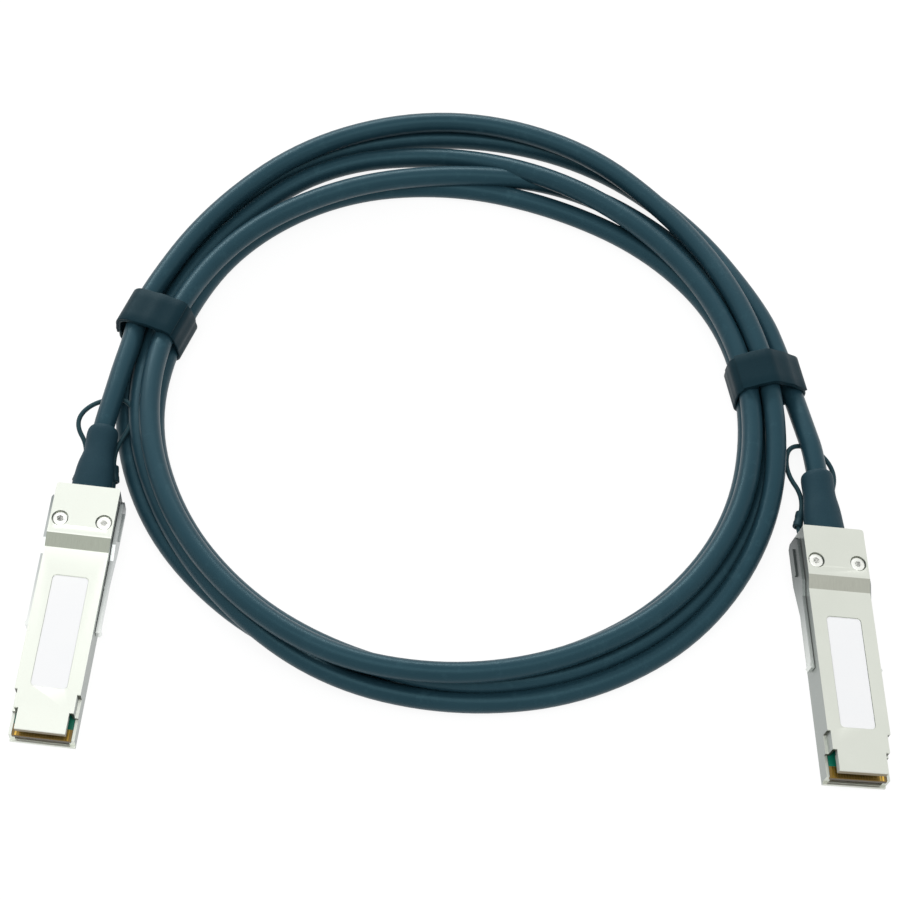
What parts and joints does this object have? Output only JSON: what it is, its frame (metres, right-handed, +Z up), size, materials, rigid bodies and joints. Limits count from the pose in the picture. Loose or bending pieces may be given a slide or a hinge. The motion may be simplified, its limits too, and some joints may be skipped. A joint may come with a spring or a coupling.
{
  "type": "direct attach copper cable",
  "caption": "Coiled twin-axial copper cable held by two strap ties, with a pluggable network module at each end that has a spring-back latch slider and pull loop.",
  "frame": {"origin": "middle of the base of the box round the two plugs, on the surface that the cable lies on", "axes": "+Z up; +Y from the plugs' noses towards the coil; +X from the left plug to the right plug"},
  "size_m": [0.2411, 0.2264, 0.0169],
  "materials": {
    "shell": "satin",
    "screw": "machined",
    "slider": "stamped",
    "spring": "drawn wire",
    "loop": "coated wire",
    "sleeve": "crimped",
    "board": "solder mask",
    "contact": "gold plate",
    "chip": "moulded",
    "wire": "foil",
    "potting": "cast",
    "ferrule": "crimped",
    "boot": "shrunk sleeve",
    "label": "blank",
    "cable": "smooth jacket",
    "tie": "woven hook and loop"
  },
  "bodies": {
    "cable": {"left_lower_shell": "shell", "left_upper_shell": "shell", "left_cover_screws": "screw", "left_return_springs": "spring", "left_circuit_board": "board", "left_contact_pads": "contact", "left_board_chips": "chip", "left_wire_pairs": "wire", "left_potting_block": "potting", "left_cable_ferrule": "ferrule", "left_boot": "boot", "left_blank_label": "label", "right_lower_shell": "shell", "right_upper_shell": "shell", "right_cover_screws": "screw", "right_return_springs": "spring", "right_circuit_board": "board", "right_contact_pads": "contact", "right_board_chips": "chip", "right_wire_pairs": "wire", "right_potting_block": "potting", "right_cable_ferrule": "ferrule", "right_boot": "boot", "right_blank_label": "label", "coil": "cable", "left_lead": "cable", "right_lead": "cable", "left_tie": "tie", "right_tie": "tie"},
    "left_latch": {"left_latch_slider": "slider", "left_pull_loop": "loop", "left_loop_sleeves": "sleeve"},
    "right_latch": {"right_latch_slider": "slider", "right_pull_loop": "loop", "right_loop_sleeves": "sleeve"}
  },
  "joints": [
    {"name": "left_latch_slide", "type": "slide", "parent": "cable", "child": "left_latch", "axis": [0.1174, 0.9916, 0.0544], "range_m": [0, 0.0024], "stiffness_N_per_m": 600, "springref_m": -0.0015, "deforming": ["left_return_springs"]},
    {"name": "right_latch_slide", "type": "slide", "parent": "cable", "child": "right_latch", "axis": [-0.0448, 0.999, 0], "range_m": [0, 0.0024], "stiffness_N_per_m": 600, "springref_m": -0.0015, "deforming": ["right_return_springs"]}
  ]
}
